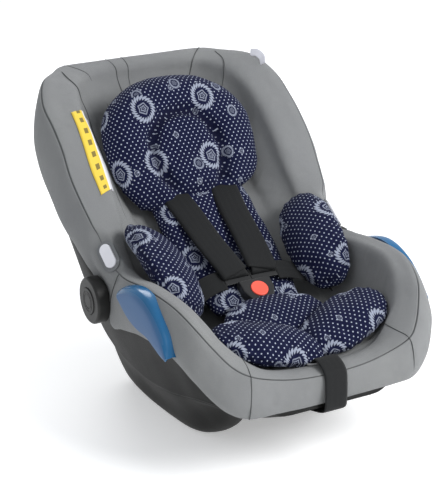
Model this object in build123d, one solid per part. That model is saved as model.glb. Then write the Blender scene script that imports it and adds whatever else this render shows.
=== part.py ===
"""Infant car seat (group 0 carrier): rocker base, padded bucket, harness, buckle, hubs and belt guides.

Frame: millimetres, +Z up, +Y towards the head end, +X towards the occupant's left side.
The origin is the middle of the flat resting face under the rocker base.
"""
from build123d import *
from functools import lru_cache
import math
import os

# ---------- driving dimensions ----------
COVER_T = 5.0          # padded cover, inner liner
RIM_T = 13.0           # padding over the rim
SKIRT_T = 6.0          # outer skirt of the cover
FOAM_T = 6.0           # impact foam between liner and shell
SHELL_T = 3.5          # wall of both plastic shells
GAP = 0.4              # clearance between pieces that don't touch

HUB_Y, HUB_Z = 32.0, 184.0     # handle pivot axis, parallel to X
HUB_R = 37.0
HUB_IN, HUB_OUT = 214.0, 234.0  # inner and outer face of the turning disc
HUB_BORE = 21.0

OVAL_C = (203.0, 22.0, 256.0)   # adapter button, middle of its face
OVAL_LONG, OVAL_WIDE = 42.0, 19.0
OVAL_UP = (0.0, 0.839, 0.544)
OVAL_OUT = (0.75, -0.359, 0.555)

WEB = 40.0             # harness webbing width
WEB_T = 2.0
PAD_WIDE = 50.0        # shoulder pads
BUCKLE_C = (0.0, -85.0, 198.0)
BUCKLE_LEAN = 30.0     # degrees from level, facing the front
BUTTON_R = 14.0

# Side rim seam: y, half width, height
RIM = [
    (-307, 90, 166), (-300, 134, 172), (-285, 156, 188), (-264, 175, 211), (-240, 189, 233),
    (-204, 198, 249), (-162, 203, 254), (-94, 204, 249), (-40, 204, 241), (3, 203, 243),
    (40, 204, 266), (68, 210, 297), (97, 215, 327), (124, 218, 356), (156, 215, 389),
    (189, 211, 416), (229, 206, 440), (277, 188, 464), (330, 150, 468), (351, 130, 467), (380, 100, 467),
]
# Outer hull under the rim: y, bottom height, bottom half width, corner rise, ledge half width,
# ledge height, half width and height at the cover's hem
HULL = [
    (-301, 100, 70, 5, 108, 118, 122, 128), (-280, 94, 95, 7, 138, 118, 150, 140),
    (-255, 86, 108, 9, 160, 116, 176, 160), (-217, 58, 106, 14, 172, 110, 196, 180),
    (-176, 18, 106, 16, 174, 98, 202, 186), (-130, 0, 112, 12, 177, 88, 204, 184),
    (-60, -6, 118, 16, 180, 80, 205, 172), (30, -6, 122, 16, 183, 88, 204, 170),
    (91, 10, 124, 14, 185, 112, 209, 220), (144, 62, 124, 16, 184, 160, 216, 268),
    (200, 146, 110, 18, 176, 226, 212, 308), (260, 240, 94, 20, 164, 306, 197, 358),
    (320, 330, 78, 18, 136, 372, 160, 396), (368, 408, 60, 10, 104, 420, 118, 428),
]
# Arch under the front, between the two runners: y, rise
ARCH = [(-301, 0), (-264, 0), (-217, 18), (-176, 42), (-130, 46), (-60, 22), (-22, 0.5), (0, 0), (368, 0)]
RUNNER_IN = 90.0       # inner edge of each runner
# Liner inside the bucket: y, floor height, floor half width, half width at the rim
LINER = [
    (-280, 153, 80, 104), (-264, 147, 100, 143), (-240, 135, 112, 160), (-200, 122, 120, 170),
    (-150, 121, 122, 175), (-90, 127, 118, 175), (-50, 152, 112, 174), (0, 190, 104, 172),
    (50, 222, 100, 164), (100, 254, 98, 160), (156, 288, 98, 158), (200, 314, 98, 156),
    (250, 346, 95, 151), (300, 388, 88, 134), (328, 424, 80, 116), (342, 450, 74, 96),
]
# Lower edge of the cover's skirt: y, height
HEM = [
    (-330, 104), (-303, 108), (-285, 126), (-260, 158), (-227, 172), (-208, 184), (-128, 180), (-15, 154),
    (12, 158), (50, 205), (80, 229), (120, 250), (180, 292), (245, 350), (300, 384), (340, 398), (400, 408),
]


def look_up(table, y, column):
    """Smooth value of one column of a station table at y, straight past its ends."""
    rows = [(row[0], row[column]) for row in table]

    def chord(i):
        return (rows[i + 1][1] - rows[i][1]) / (rows[i + 1][0] - rows[i][0])

    last = len(rows) - 2
    i = max(0, min(last, sum(1 for row in rows if row[0] <= y) - 1))
    (y0, v0), (y1, v1) = rows[i], rows[i + 1]
    if y < rows[0][0]:
        return v0 + chord(0) * (y - y0)
    if y > rows[-1][0]:
        return v1 + chord(last) * (y - y1)

    def tangent(j):
        if j == 0:
            return chord(0)
        if j == last + 1:
            return chord(last)
        before, after = chord(j - 1), chord(j)
        return 0.0 if before * after <= 0 else 2 * before * after / (before + after)

    span = y1 - y0
    t = (y - y0) / span
    return (
        (2 * t**3 - 3 * t**2 + 1) * v0
        + (t**3 - 2 * t**2 + t) * span * tangent(i)
        + (3 * t**2 - 2 * t**3) * v1
        + (t**3 - t**2) * span * tangent(i + 1)
    )


def liner_height(y):
    return look_up(LINER, y, 1)


def section(y, half):
    """Face in the plane y from one side's (x, z) points, given from the bottom up."""
    points = [(x, y, z) for x, z in half] + [(-x, y, z) for x, z in reversed(half)]
    return make_face(Polyline(*points, close=True))


OPEN_TOP = 620.0        # every loft runs up to here before it is trimmed to the rim


@lru_cache
def bucket(offset):
    """Space inside the bucket, grown outwards by offset."""
    stations = [-280 - offset, -264, -240, -200, -150, -90, -50, 0, 50, 100, 156, 200, 250, 300, 328, 342 + offset]
    faces = []
    for y in stations:
        y_in = max(-280.0, min(342.0, y))
        slope = (liner_height(y_in + 2) - liner_height(y_in - 2)) / 4
        floor = liner_height(y_in) - offset * math.sqrt(1 + min(abs(slope), 1.2) ** 2)
        wide_floor = look_up(LINER, y_in, 2) + 0.4 * offset
        wide = look_up(LINER, y_in, 3) + offset
        rim = look_up(RIM, y_in, 2)
        rise = 0.55 * (rim - floor)
        faces.append(section(y, [
            (wide_floor, floor),
            (wide_floor + 0.55 * (wide - wide_floor), floor + 0.22 * rise),
            (wide - 0.08 * (wide - wide_floor), floor + rise),
            (wide, rim),
            (wide, OPEN_TOP),
        ]))
    return loft(faces, ruled=True)


@lru_cache
def hull(offset):
    """Everything inside the outer skin, grown outwards by offset, up to the open top."""
    stations = [-301 - offset, -290, -280, -264, -240, -217, -196, -176, -150, -130, -95, -60, -22, 0, 30, 62, 91,
                118, 144, 172, 200, 230, 260, 290, 320, 345, 368 + offset]
    faces = []
    for y in stations:
        y_in = max(-301.0, min(368.0, y))
        bottom, flat, corner, ledge_x, ledge_z, hem_x, hem_z = (look_up(HULL, y_in, c) for c in range(1, 8))
        arch, inner = look_up(ARCH, y_in, 1), min(RUNNER_IN, flat - 8)
        rim_x, rim_z = look_up(RIM, y_in, 1) - SKIRT_T, look_up(RIM, y_in, 2)
        faces.append(section(y, [
            (inner - 8 - 0.4 * offset, bottom + arch - offset),
            (inner - 0.4 * offset, bottom - offset),
            (flat + 0.4 * offset, bottom - offset),
            (flat + 24 + 0.8 * offset, bottom + corner - 0.6 * offset),
            (ledge_x - 7 + offset, ledge_z - 5),
            (ledge_x + offset, ledge_z),
            (hem_x + offset, hem_z),
            (max(rim_x, hem_x - 4) + 4 + offset, 0.5 * (hem_z + rim_z)),
            (rim_x + offset, rim_z),
            (rim_x + offset, OPEN_TOP),
        ]))
    return loft(faces, ruled=True)


def above(table, column, lift):
    """Block over a height profile, raised by lift."""
    steps = [-330 + 10 * i for i in range(74)]
    points = [(0, y, look_up(table, y, column) + lift) for y in steps]
    points += [(0, steps[-1], OPEN_TOP + 50), (0, steps[0], OPEN_TOP + 50)]
    return extrude(make_face(Polyline(*points, close=True)), amount=300, dir=(1, 0, 0), both=True)


def front_scoop(lift):
    """Dip in the middle of the front edge."""
    arc = ThreePointArc((-140, -340, 176 + lift), (0, -340, 151 + lift), (140, -340, 176 + lift))
    top = Polyline((140, -340, 176 + lift), (140, -340, 300), (-140, -340, 300), (-140, -340, 176 + lift))
    return extrude(make_face(Curve() + [arc, top]), amount=84, dir=(0, 1, 0))


def below_rim(solid, lift):
    """The part of a loft under the rim seam."""
    return solid - above(RIM, 2, lift) - front_scoop(lift)


def both_sides(solid):
    return solid, mirror(solid, about=Plane.YZ)


def oval_plane(depth):
    origin = Vector(*OVAL_C) + Vector(*OVAL_OUT) * depth
    return Plane(origin=origin, x_dir=OVAL_UP, z_dir=OVAL_OUT)


def oval(long, wide, low, high):
    return oval_plane(low) * extrude(SlotOverall(long, wide), amount=high - low)


def axle(radius, x0, x1, y=HUB_Y, z=HUB_Z):
    """Cylinder along +X from x0 to x1 on the hub axis."""
    return Plane(origin=(x0, y, z), x_dir=(0, 1, 0), z_dir=(1, 0, 0)) * extrude(Circle(radius), amount=x1 - x0)


def coil(radius, wire, length, turns, plane):
    """Compression spring as a stack of rings joined by a thin core strip."""
    pitch = length / turns
    rings = [Pos(0, 0, (i + 0.5) * pitch) * Torus(radius, wire) for i in range(turns)]
    spine = Pos(radius, 0, length / 2) * Box(wire, wire, length - pitch)
    body = spine
    for ring in rings:
        body = body + ring
    return plane * body


def ribbon(points, width, thick=WEB_T, across=(1, 0, 0)):
    """Flat webbing through points, its width along across."""
    across = Vector(*across).normalized()
    route = [Vector(*p) for p in points]
    faces = []
    for i, here in enumerate(route):
        run = (route[min(i + 1, len(route) - 1)] - route[max(i - 1, 0)]).normalized()
        up = across.cross(run).normalized() * (thick / 2)
        side = across * (width / 2)
        corners = [here - side - up, here + side - up, here + side + up, here - side + up]
        faces.append(make_face(Polyline(*corners, close=True)))
    return loft(faces, ruled=True)


def band(points, width, thick=WEB_T):
    """Flat webbing that runs in the middle plane."""
    route = [Vector(*p) for p in points]
    over, under = [], []
    for i, here in enumerate(route):
        run = (route[min(i + 1, len(route) - 1)] - route[max(i - 1, 0)]).normalized()
        up = Vector(1, 0, 0).cross(run) * (thick / 2)
        over.append(here + up)
        under.append(here - up)
    outline = make_face(Polyline(*over, *reversed(under), close=True))
    return extrude(outline, amount=width / 2, dir=(1, 0, 0), both=True)


def cushion(size, centre, tilt=(0, 0, 0)):
    """Plain ellipsoid pad."""
    pad = scale(Sphere(1), by=(size[0] / 2, size[1] / 2, size[2] / 2))
    return Pos(*centre) * Rot(*tilt) * pad


# ---------- shells, foam and cover ----------
SCREWS = [(-104, -140, 103), (104, -140, 103), (-104, -60, 123), (104, -60, 123)]


def post(x, y, radius, z0, z1):
    return Pos(x, y, z0) * extrude(Circle(radius), amount=z1 - z0)


def base_shell():
    """Outer pan with the rocker; flat underneath where it rests."""
    wall = below_rim(hull(0) - hull(-SHELL_T), -RIM_T - 6)
    wall -= Pos(0, 0, -60) * Box(900, 900, 120)
    wall += Pos(0, 27, SHELL_T / 2) * Box(232, 96, SHELL_T)
    for x in (-104, 104):
        wall += Pos(x, -60, SHELL_T / 2) * Box(24, 150, SHELL_T)
    for x, y, top in SCREWS:
        wall += post(x, y, 8, 2, top)
        wall -= post(x, y, 4.8, -1, top - 12) + post(x, y, 2.3, 0, top + 1)
    for foot in rubber_feet():
        wall -= foot
    return wall


def seat_shell():
    """Inner bucket with a flange that sits on the pan's upper edge."""
    outer = COVER_T + FOAM_T + SHELL_T
    wall = bucket(outer) - bucket(COVER_T + FOAM_T)
    flange = (hull(0) - bucket(COVER_T + FOAM_T)) - below_rim(hull(1), -RIM_T - 5.4)
    seat = below_rim(wall + flange, -RIM_T)
    for x, y, top in SCREWS:
        seat -= post(x, y, 2.3, top, top + 30)
    return seat


def impact_foam():
    return below_rim(bucket(COVER_T + FOAM_T) - bucket(COVER_T), -RIM_T)


def seat_cover():
    """Padded liner, rolled rim and outer skirt in one piece."""
    skin = below_rim(hull(SKIRT_T) - bucket(0), 0)
    skin -= below_rim(hull(0.2), -RIM_T) - bucket(COVER_T)
    skin -= below_rim(hull(SKIRT_T + 1) - hull(0), 0) - above(HEM, 1, 0)
    return skin


# ---------- rocker base fittings ----------
def rubber_feet():
    return [Pos(x, y, 1) * Box(18, 34, 2) for x in (-104, 104) for y in (-100, 48)]


def screws():
    return [post(x, y, 2.0, top - 12, top + 3) + post(x, y, 4.2, top - 15, top - 12) for x, y, top in SCREWS]


def rear_belt_guide():
    """Hook behind the head end that steers the shoulder belt."""
    bar = Box(150, 9, 34)
    for x in (-62, 62):
        bar += Pos(x, -12, 0) * Box(26, 30, 34)
    return Pos(0, 312, 286) * Rot(-34, 0, 0) * fillet(bar.edges().filter_by(Axis.Z), 3)


# ---------- handle hubs ----------
ARM_LEAN = 31.0        # the empty arm socket points up and back


def hub_mount():
    ring = axle(31, 190, HUB_IN - GAP) + axle(33, 190, 194)
    return ring - axle(6.3, 180, 220) - axle(12, 185, 199)


def hub_bolt():
    return axle(6.0, 196, 219.6) + axle(11, 219.6, 222.1) + axle(10, 195.5, 198.5)


def hub_disc():
    disc = axle(HUB_R, HUB_IN, HUB_OUT)
    disc = fillet(disc.edges().filter_by(GeomType.CIRCLE).group_by(Axis.X)[-1], 4)
    disc -= axle(HUB_BORE + 0.4, HUB_IN + 5.5, HUB_OUT + 1)
    disc -= axle(6.05, HUB_IN - 1, HUB_IN + 6)
    socket = Pos(224, HUB_R - 2, 0) * Box(9, 22, 24)
    return disc - Pos(0, HUB_Y, HUB_Z) * Rot(ARM_LEAN, 0, 0) * socket


def hub_button():
    cap = axle(HUB_BORE, 227.6, 235.5)
    cap = fillet(cap.edges().filter_by(GeomType.CIRCLE).group_by(Axis.X)[-1], 1.5)
    for r in (16.5, 12.5):
        cap -= axle(r, 234.9, 236) - axle(r - 1.4, 234, 237)
    return cap


def hub_spring():
    place = Plane(origin=(HUB_IN + 5.7, HUB_Y, HUB_Z), x_dir=(0, 1, 0), z_dir=(1, 0, 0))
    return coil(15, 0.8, 7.6, 3, place)


# ---------- adapter buttons ----------
def adapter_surround():
    cup = oval(OVAL_LONG + 12, OVAL_WIDE + 12, -15, 0)
    return cup - oval(OVAL_LONG + 1, OVAL_WIDE + 1, -13, 1)


def adapter_button():
    return oval(OVAL_LONG, OVAL_WIDE, -6.5, 2.2)


def adapter_spring():
    return coil(5, 0.8, 6.2, 3, oval_plane(-12.9))


# ---------- side belt guides ----------
GUIDE_OUT = 224.0
GUIDE_T = 4.5
# outline of the crescent: rear end, crown, front and lower tip, then back along the lower edge
GUIDE_TOP = [(-50, 227), (-73, 240), (-108, 250.5), (-137, 250.5), (-165, 242), (-187, 230), (-205, 213),
             (-217, 198), (-220, 187)]
GUIDE_LOW = [(-220, 187), (-213, 184), (-199, 185), (-180, 190.5), (-155, 196), (-123, 197), (-97, 201.5),
             (-77, 210.5), (-61, 220)]


def leaf():
    top = Spline(*[(0, y, z) for y, z in GUIDE_TOP])
    low = Spline(*[(0, y, z) for y, z in GUIDE_LOW])
    return make_face(Curve() + [top, low, Line((0, *GUIDE_LOW[-1]), (0, *GUIDE_TOP[0]))])


def belt_guide():
    """Plate that stands off the side; the wall along its top and front edge carries it."""
    inside = GUIDE_OUT - GUIDE_T
    plate = Pos(inside, 0, 0) * extrude(leaf(), amount=GUIDE_T, dir=(1, 0, 0))
    wall = Pos(204, 0, 0) * extrude(leaf(), amount=inside - 204, dir=(1, 0, 0))
    wall -= Pos(190, 11, -9) * extrude(leaf(), amount=40, dir=(1, 0, 0))
    return plate + wall.solids().sort_by(SortBy.VOLUME)[-1]


# ---------- buckle ----------
def buckle_plane(depth=0.0):
    lean = math.radians(BUCKLE_LEAN)
    out = Vector(0, -math.sin(lean), math.cos(lean))
    return Plane(origin=Vector(*BUCKLE_C) + out * depth, x_dir=(1, 0, 0), z_dir=out)


def at_buckle(x, y, z):
    return buckle_plane().from_local_coords(Vector(x, y, z))


def shield():
    half = [(27, 19), (27, -2), (14, -30)]
    return make_face(Polyline(*half, *[(-x, y) for x, y in reversed(half)], close=True))


def buckle_back():
    return buckle_plane(-9) * extrude(shield(), amount=6)


def buckle_front():
    front = extrude(shield(), amount=9.6)
    front = Pos(0, 0, -2.6) * fillet(front.edges().group_by(Axis.Z)[-1], 3)
    front -= Pos(0, 12, 0) * Box(46.4, 18, 5)
    front -= Pos(0, -2, -4) * extrude(Circle(BUTTON_R + 0.5), amount=20)
    return buckle_plane() * front


def buckle_button():
    button = extrude(Circle(BUTTON_R), amount=6)
    return buckle_plane(2.8) * Pos(0, -2, 0) * fillet(button.edges().group_by(Axis.Z)[-1], 1.5)


def buckle_spring():
    return buckle_plane() * coil(8, 0.7, 5.0, 3, Plane(origin=(0, -2, -2.3)))


def tongue():
    """Blade that enters the buckle, with a wide loop for the two webbings of one side."""
    plate = Pos(12.6, 16.8, 0) * Box(20, 8, 3) + Pos(23, 30, 0) * Box(45, 20, 3)
    return buckle_plane() * (plate - Pos(23, 31.5, 0) * Box(41, 4.6, 6))


# ---------- harness ----------
def shoulder_route(side):
    """From the tongue up the body pad, through the slot and down behind the shell to the yoke."""
    loop = [at_buckle(23, 31.5, -3), at_buckle(23, 31.5, 2.6), at_buckle(24, 35, 4.4), at_buckle(26, 44, 5.5)]
    run = [(34, 10, 251), (38, 60, 273.5), (42, 100, 298.5), (45, 124, 313), (46, 137, 318), (46, 146, 307)]
    back = [(46, 158, 288), (46, 170, 269), (44, 168, 250), (38, 142, 228), (31, 112, 206)]
    return [(side * p[0], p[1], p[2]) for p in [tuple(v) for v in loop] + run + back]


def shoulder_pad():
    """Padded sleeve round the shoulder webbing."""
    return ribbon(shoulder_route(1)[4:8], PAD_WIDE, 6.4) - ribbon(shoulder_route(1)[3:9], WEB, 3)


def lap_route(side):
    start = tuple(at_buckle(46.3, 31, 0))
    run = [(68, -60, 207), (98, -60, 192), (126, -60, 177), (148, -60, 167), (161, -60, 157), (168, -60, 140)]
    return [(side * x, y, z) for x, y, z in [start] + run]


CROTCH = [(0, -111, 171), (0, -124, 162), (0, -130, 150), (0, -131, 100)]
ADJUSTER = [
    (0, 96, 184), (0, 40, 150), (0, -30, 104), (0, -90, 90), (0, -150, 88), (0, -222, 94), (0, -247, 103),
    (0, -262, 106), (0, -268.5, 113), (0, -270, 130), (0, -271, 150), (0, -277, 165), (0, -296, 163),
    (0, -308, 156), (0, -313, 142), (0, -314, 104), (0, -306, 92), (0, -280, 82), (0, -262, 77),
]
SLANT = (0, 0.866, 0.5)


def yoke():
    """Metal plate that joins the shoulder webbings to the adjuster webbing."""
    plate = Box(112, 46, 2.5) - Pos(0, -14, 0) * Box(42, 6, 8)
    for x in (-30, 30):
        plate -= Pos(x, 14, 0) * Box(42, 6, 8)
    return Pos(0, 104, 194) * Rot(32, 0, 0) * plate


def lap_anchor():
    return Pos(171.6, -60, 128) * (Box(3, 50, 26) - Pos(0, 0, 6) * Box(8, 42, 5))


# ---------- harness adjuster ----------
PIN_Y, PIN_Z = -256.0, 112.0


def adjuster_body():
    body = Pos(0, -262, 109) * Box(60, 26, 22) - Pos(0, -262, 109) * Box(45, 40, 16)
    body -= Pos(0, -262, 118) * Box(45, 22, 14)
    return body - Pos(0, PIN_Y, PIN_Z) * Rot(0, 90, 0) * Cylinder(2.0, 80)


def adjuster_pin():
    return Pos(0, PIN_Y, PIN_Z) * Rot(0, 90, 0) * Cylinder(2.0, 60)


def adjuster_lever():
    lever = Pos(0, PIN_Y, PIN_Z) * Box(42, 8, 8) + Pos(0, PIN_Y - 1, PIN_Z + 18) * Box(32, 4, 32)
    return lever - Pos(0, PIN_Y, PIN_Z) * Rot(0, 90, 0) * Cylinder(2.05, 80)


def adjuster_spring():
    return coil(3, 0.5, 5.0, 3, Plane(origin=(10, -249.4, 129), x_dir=(1, 0, 0), z_dir=(0, -1, 0)))


# ---------- infant insert ----------
HEAD_C = (0, 160, 388)
HEAD_LEAN = 57.0
PAD_T = 34.0           # body pad


def roof_height(y):
    """Top of the body pad."""
    return liner_height(y + 18) + 30.3


def head_plane(depth=0.0):
    lean = math.radians(HEAD_LEAN)
    out = Vector(0, -math.sin(lean), math.cos(lean))
    return Plane(origin=Vector(*HEAD_C) + out * depth, x_dir=(1, 0, 0), z_dir=out)


def under_head():
    """Everything below the back of the head cushion: body pad, webbing and liner."""
    seat = [(0, y, roof_height(y) + 9) for y in range(40, 166, 14)]
    wall = [(0, y, liner_height(y) + 2) for y in range(185, 340, 14)]
    outline = make_face(Polyline(*seat, *wall, (0, 400, 100), (0, 40, 100), close=True))
    return extrude(outline, amount=200, dir=(1, 0, 0), both=True)


def head_cushion():
    ring = fillet(extrude(Ellipse(141, 101), amount=96).edges(), 18)
    ring -= Pos(0, -10, -1) * extrude(Ellipse(60, 66), amount=120)
    return head_plane(-96) * ring


def head_pad():
    pad = extrude(Ellipse(59, 65), amount=88)
    pad = fillet(pad.edges().group_by(Axis.Z)[-1], 14)
    return head_plane(-94) * Pos(0, -10, 0) * pad


def body_pad():
    line = [(0, y, liner_height(y) + 1.5) for y in range(-72, 170, 24)]
    roof = [(0, y - 0.53 * PAD_T, z + 0.848 * PAD_T) for _, y, z in reversed(line)]
    pad = extrude(make_face(Polyline(*line, *roof, close=True)), amount=84, dir=(1, 0, 0), both=True)
    return pad


def torso_bolster():
    return cushion((46, 166, 90), (127, -14, 250), (28, 22, 0))


def leg_bolster():
    return cushion((134, 82, 46), (75, -216, 163), (0, -8, 0))


def seat_wedge():
    return Pos(0, -130, 150) * Box(170, 66, 40)


# ---------- labels ----------
def wash_tag():
    return ribbon([(207, 246, 458), (198, 270, 469)], 14, 1.0, across=(0.5, -0.2, 0.84))


def side_label():
    """Printed label sewn along the inner edge of the right-hand wing."""
    return ribbon([(-154, 109, 328), (-152.4, 160, 378), (-149, 215, 419)], 14, 0.8, across=(0, 0.66, -0.75))


# ---------- assembly ----------
def make_all():
    """Every piece by name; passages for webbing and fittings are cut through the layers."""
    layers = {"base_shell": base_shell(), "seat_shell": seat_shell(), "impact_foam": impact_foam(),
              "seat_cover": seat_cover()}
    guide, surround = belt_guide(), adapter_surround()
    pocket = oval(OVAL_LONG + 12.4, OVAL_WIDE + 12.4, -15.4, 8)
    for name in layers:
        for cut in both_sides(pocket) + both_sides(guide):
            layers[name] -= cut
    for cut in both_sides(axle(31.3, 150, 208)):
        layers["base_shell"] -= cut
        layers["seat_shell"] -= cut
    for cut in both_sides(axle(32.5, 188, 260)):
        layers["seat_cover"] -= cut
    layers["base_shell"] -= rear_belt_guide()

    through = [ribbon(shoulder_route(side)[5:13], WEB + 3, 7.5) for side in (-1, 1)]
    through += [ribbon(lap_route(side)[3:], 42, 7, SLANT) for side in (-1, 1)]
    through += [ribbon(CROTCH, WEB + 4, 7), Pos(0, -264, 138) * Box(WEB + 6, 30, 60)]
    for name in ("seat_shell", "impact_foam", "seat_cover"):
        for cut in through:
            layers[name] -= cut

    parts = dict(layers)
    parts["rubber_feet"] = rubber_feet()
    parts["shell_screws"] = screws()
    parts["rear_belt_guide"] = rear_belt_guide()

    sided = {
        "hub_mount": hub_mount(), "hub_bolt": hub_bolt(), "hub_disc": hub_disc(), "hub_button": hub_button(),
        "hub_spring": hub_spring(), "adapter_surround": surround, "adapter_button": adapter_button(),
        "adapter_spring": adapter_spring(), "belt_guide": guide, "tongue": tongue(), "lap_anchor": lap_anchor(),
        "shoulder_strap": ribbon(shoulder_route(1), WEB - 1), "shoulder_pad": shoulder_pad(),
        "lap_strap": ribbon(lap_route(1), 36, WEB_T, SLANT),
    }
    for name, solid in sided.items():
        parts[name + "_left"], parts[name + "_right"] = both_sides(solid)

    parts["crotch_strap"] = band(CROTCH, WEB)
    parts["adjuster_strap"] = band(ADJUSTER, WEB - 2)
    for maker in (buckle_back, buckle_front, buckle_button, buckle_spring, yoke, adjuster_body, adjuster_pin,
                  adjuster_lever, adjuster_spring, wash_tag, side_label):
        parts[maker.__name__] = maker()

    room = bucket(-0.8)
    below = under_head()
    wedge = (seat_wedge() & room) - ribbon(CROTCH, WEB + 4, 7)
    pad = body_pad() & room
    for side in (-1, 1):
        pad -= ribbon(shoulder_route(side)[5:13], WEB + 3, 7.5) + ribbon(shoulder_route(side)[4:8], PAD_WIDE + 3, 9)
    parts["body_pad"] = pad
    parts["seat_wedge"] = wedge
    parts["head_cushion"] = (head_cushion() & room) - below
    parts["head_pad"] = (head_pad() & room) - below
    parts["torso_bolster_left"], parts["torso_bolster_right"] = both_sides(torso_bolster() & room)
    parts["leg_bolster_left"], parts["leg_bolster_right"] = both_sides(leg_bolster() & room)
    return parts


def write(name, solid):
    pieces = [s for item in (solid if isinstance(solid, list) else [solid]) for s in item.solids()]
    shape = pieces[0] if len(pieces) == 1 else Compound(children=pieces)
    shape.label = name
    export_step(shape, f"parts/{name}.step")


os.makedirs("parts", exist_ok=True)
for part_name, part_solid in make_all().items():
    write(part_name, part_solid)
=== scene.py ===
"""Looks of the infant car seat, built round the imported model. Metres, +Z up, +Y to the head end."""
import math

import bmesh
import bpy
import numpy as np
from mathutils import Matrix, Vector, noise


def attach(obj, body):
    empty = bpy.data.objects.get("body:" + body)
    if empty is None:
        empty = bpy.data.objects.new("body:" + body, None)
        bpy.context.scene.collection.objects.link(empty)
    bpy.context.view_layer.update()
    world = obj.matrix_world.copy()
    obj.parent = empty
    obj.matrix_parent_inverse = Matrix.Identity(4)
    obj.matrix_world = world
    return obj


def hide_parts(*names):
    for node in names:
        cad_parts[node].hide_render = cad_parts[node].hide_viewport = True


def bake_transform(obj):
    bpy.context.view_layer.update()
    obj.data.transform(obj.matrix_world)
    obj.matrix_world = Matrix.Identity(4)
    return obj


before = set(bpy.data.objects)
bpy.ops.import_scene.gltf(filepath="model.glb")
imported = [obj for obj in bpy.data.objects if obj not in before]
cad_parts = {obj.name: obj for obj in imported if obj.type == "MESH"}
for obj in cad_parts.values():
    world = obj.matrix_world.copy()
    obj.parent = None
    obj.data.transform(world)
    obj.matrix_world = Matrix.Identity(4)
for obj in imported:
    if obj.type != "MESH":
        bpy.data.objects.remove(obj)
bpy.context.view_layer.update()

MM = 0.001


# ---------- material helpers ----------
class Look:
    """Short-hand for one material's nodes."""

    def __init__(self, name, color, rough, **sockets):
        self.mat = bpy.data.materials.new(name)
        self.mat.use_nodes = True
        self.tree = self.mat.node_tree
        self.shader = self.tree.nodes["Principled BSDF"]
        self.put(self.shader.inputs["Base Color"], (*color, 1))
        self.put(self.shader.inputs["Roughness"], rough)
        for key, value in sockets.items():
            self.put(self.shader.inputs[key.replace("_", " ")], value)

    def add(self, kind, **settings):
        made = self.tree.nodes.new(kind)
        for key, value in settings.items():
            setattr(made, key, value)
        return made

    def put(self, socket, value):
        if isinstance(value, bpy.types.NodeSocket):
            self.tree.links.new(value, socket)
        elif isinstance(value, (tuple, list)) and len(value) == 3 and socket.type == "RGBA":
            socket.default_value = (*value, 1)
        else:
            socket.default_value = value

    def math(self, op, a, b=0.0, c=0.0, clamp=False):
        made = self.add("ShaderNodeMath", operation=op, use_clamp=clamp)
        for socket, value in zip(made.inputs, (a, b, c)):
            self.put(socket, value)
        return made.outputs[0]

    def times(self, a, b):
        return self.math("MULTIPLY", a, b)

    def plus(self, a, b):
        return self.math("ADD", a, b)

    def minus(self, a, b, clamp=False):
        return self.math("SUBTRACT", a, b, clamp=clamp)

    def mix(self, share, a, b):
        made = self.add("ShaderNodeMix", data_type="RGBA")
        self.put(made.inputs[0], share)
        self.put(made.inputs[6], a)
        self.put(made.inputs[7], b)
        return made.outputs[2]

    def remap(self, value, low, high, to_low=0.0, to_high=1.0, smooth=False):
        made = self.add("ShaderNodeMapRange", interpolation_type="SMOOTHSTEP" if smooth else "LINEAR")
        for socket, item in zip(made.inputs, (value, low, high, to_low, to_high)):
            self.put(socket, item)
        return made.outputs[0]

    def coords(self, kind="Object"):
        return self.add("ShaderNodeTexCoord").outputs[kind]

    def split(self, vector):
        made = self.add("ShaderNodeSeparateXYZ")
        self.put(made.inputs[0], vector)
        return made.outputs[0], made.outputs[1], made.outputs[2]

    def join(self, x, y, z=0.0):
        made = self.add("ShaderNodeCombineXYZ")
        for socket, value in zip(made.inputs, (x, y, z)):
            self.put(socket, value)
        return made.outputs[0]

    def scaled(self, vector, factors):
        """The vector stretched by a factor along each axis."""
        return self.join(*[self.times(part, factor) for part, factor in zip(self.split(vector), factors)])

    def noise(self, vector, scale, detail=2.0):
        made = self.add("ShaderNodeTexNoise")
        self.put(made.inputs["Vector"], vector)
        self.put(made.inputs["Scale"], scale)
        self.put(made.inputs["Detail"], detail)
        return made.outputs["Fac"]

    def marked(self, name):
        return self.add("ShaderNodeAttribute", attribute_name=name).outputs["Fac"]

    def bump(self, height, distance, strength=1.0, under=None):
        made = self.add("ShaderNodeBump")
        self.put(made.inputs["Height"], height)
        self.put(made.inputs["Distance"], distance)
        self.put(made.inputs["Strength"], strength)
        if under is not None:
            self.put(made.inputs["Normal"], under)
        self.tree.links.new(made.outputs[0], self.shader.inputs["Normal"])
        return made.outputs[0]

    def color(self, value):
        self.put(self.shader.inputs["Base Color"], value)

    def rough(self, value):
        self.put(self.shader.inputs["Roughness"], value)


def lin(*rgb):
    """sRGB 0-255 to linear."""
    return tuple((c / 255 / 12.92) if c / 255 <= 0.04045 else ((c / 255 + 0.055) / 1.055) ** 2.4 for c in rgb)


def weave(look, vector, pitch):
    """Height of a plain weave of that thread pitch."""
    u, v, _ = look.split(vector)
    a = look.times(u, math.pi / pitch)
    b = look.times(v, math.pi / pitch)
    over = look.times(look.math("SINE", a), look.math("SINE", b))
    side = look.math("GREATER_THAN", over, 0.0)
    warp = look.math("ABSOLUTE", look.math("SINE", a))
    weft = look.math("ABSOLUTE", look.math("SINE", b))
    first = look.times(warp, side)
    second = look.times(weft, look.minus(1.0, side))
    return look.plus(first, second)


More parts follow.
